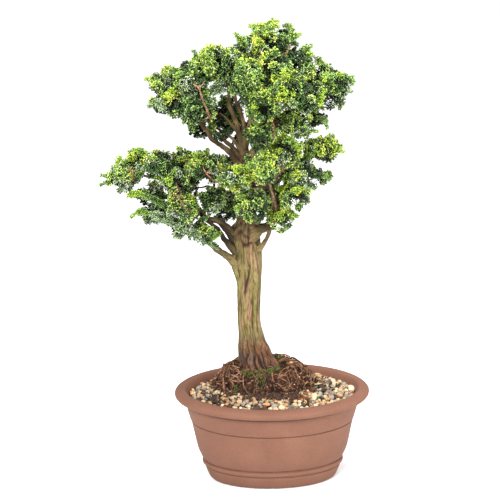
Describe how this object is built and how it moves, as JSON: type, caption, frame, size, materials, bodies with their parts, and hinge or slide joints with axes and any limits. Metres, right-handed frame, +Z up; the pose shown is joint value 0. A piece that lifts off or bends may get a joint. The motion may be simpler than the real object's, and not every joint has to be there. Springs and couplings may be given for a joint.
{
  "type": "hinoki cypress bonsai",
  "caption": "Hinoki cypress bonsai with a fluted trunk and a two-tier crown of fan-shaped foliage, in an oval clay pot dressed with gravel.",
  "frame": {"origin": "centre of the bounding box at the underside of the pot's foot", "axes": "+Z up along the trunk, X along the pot's long side, -Y towards the front of the tree"},
  "size_m": [0.331, 0.182, 0.6024],
  "materials": {
    "pot": "unglazed red-brown clay, matt",
    "screen": "black plastic mesh",
    "soil": "fibrous roots and dark earth",
    "gravel": "mixed cream, grey and tan pebbles",
    "bark": "fluted stringy bark with a little moss",
    "foliage": "scale leaves, mid green with yellow-green tips"
  },
  "bodies": {
    "root": {"pot": "pot", "drain_screen_left": "screen", "drain_screen_right": "screen", "soil_mound": "soil", "gravel": "gravel", "trunk_and_branches": "bark", "spray_back_1": "foliage", "spray_back_2": "foliage", "spray_back_3": "foliage", "spray_back_low": "foliage", "spray_centre_1": "foliage", "spray_centre_2": "foliage", "spray_centre_low_1": "foliage", "spray_centre_low_2": "foliage", "spray_centre_low_3": "foliage", "spray_far_left_1": "foliage", "spray_far_left_2": "foliage", "spray_far_left_3": "foliage", "spray_frond_1": "foliage", "spray_frond_2": "foliage", "spray_frond_3": "foliage", "spray_left_1": "foliage", "spray_left_2": "foliage", "spray_left_3": "foliage", "spray_left_back": "foliage", "spray_left_in_1": "foliage", "spray_left_in_2": "foliage", "spray_left_low_1": "foliage", "spray_left_low_2": "foliage", "spray_left_low_3": "foliage", "spray_left_low_4": "foliage", "spray_left_low_5": "foliage", "spray_left_low_tip": "foliage", "spray_left_mid_1": "foliage", "spray_left_mid_2": "foliage", "spray_left_mid_3": "foliage", "spray_mid_1": "foliage", "spray_mid_2": "foliage", "spray_mid_3": "foliage", "spray_mid_4": "foliage", "spray_mid_back": "foliage", "spray_right_1": "foliage", "spray_right_2": "foliage", "spray_right_3": "foliage", "spray_right_4": "foliage", "spray_right_back": "foliage", "spray_right_low_1": "foliage", "spray_right_low_2": "foliage", "spray_right_mid_1": "foliage", "spray_right_mid_2": "foliage", "spray_right_mid_3": "foliage", "spray_right_mid_4": "foliage", "spray_right_up_1": "foliage", "spray_right_up_2": "foliage", "spray_shoulder_1": "foliage", "spray_shoulder_2": "foliage", "spray_shoulder_back": "foliage", "spray_top_1": "foliage", "spray_top_2": "foliage", "spray_top_back": "foliage"}
  },
  "joints": []
}
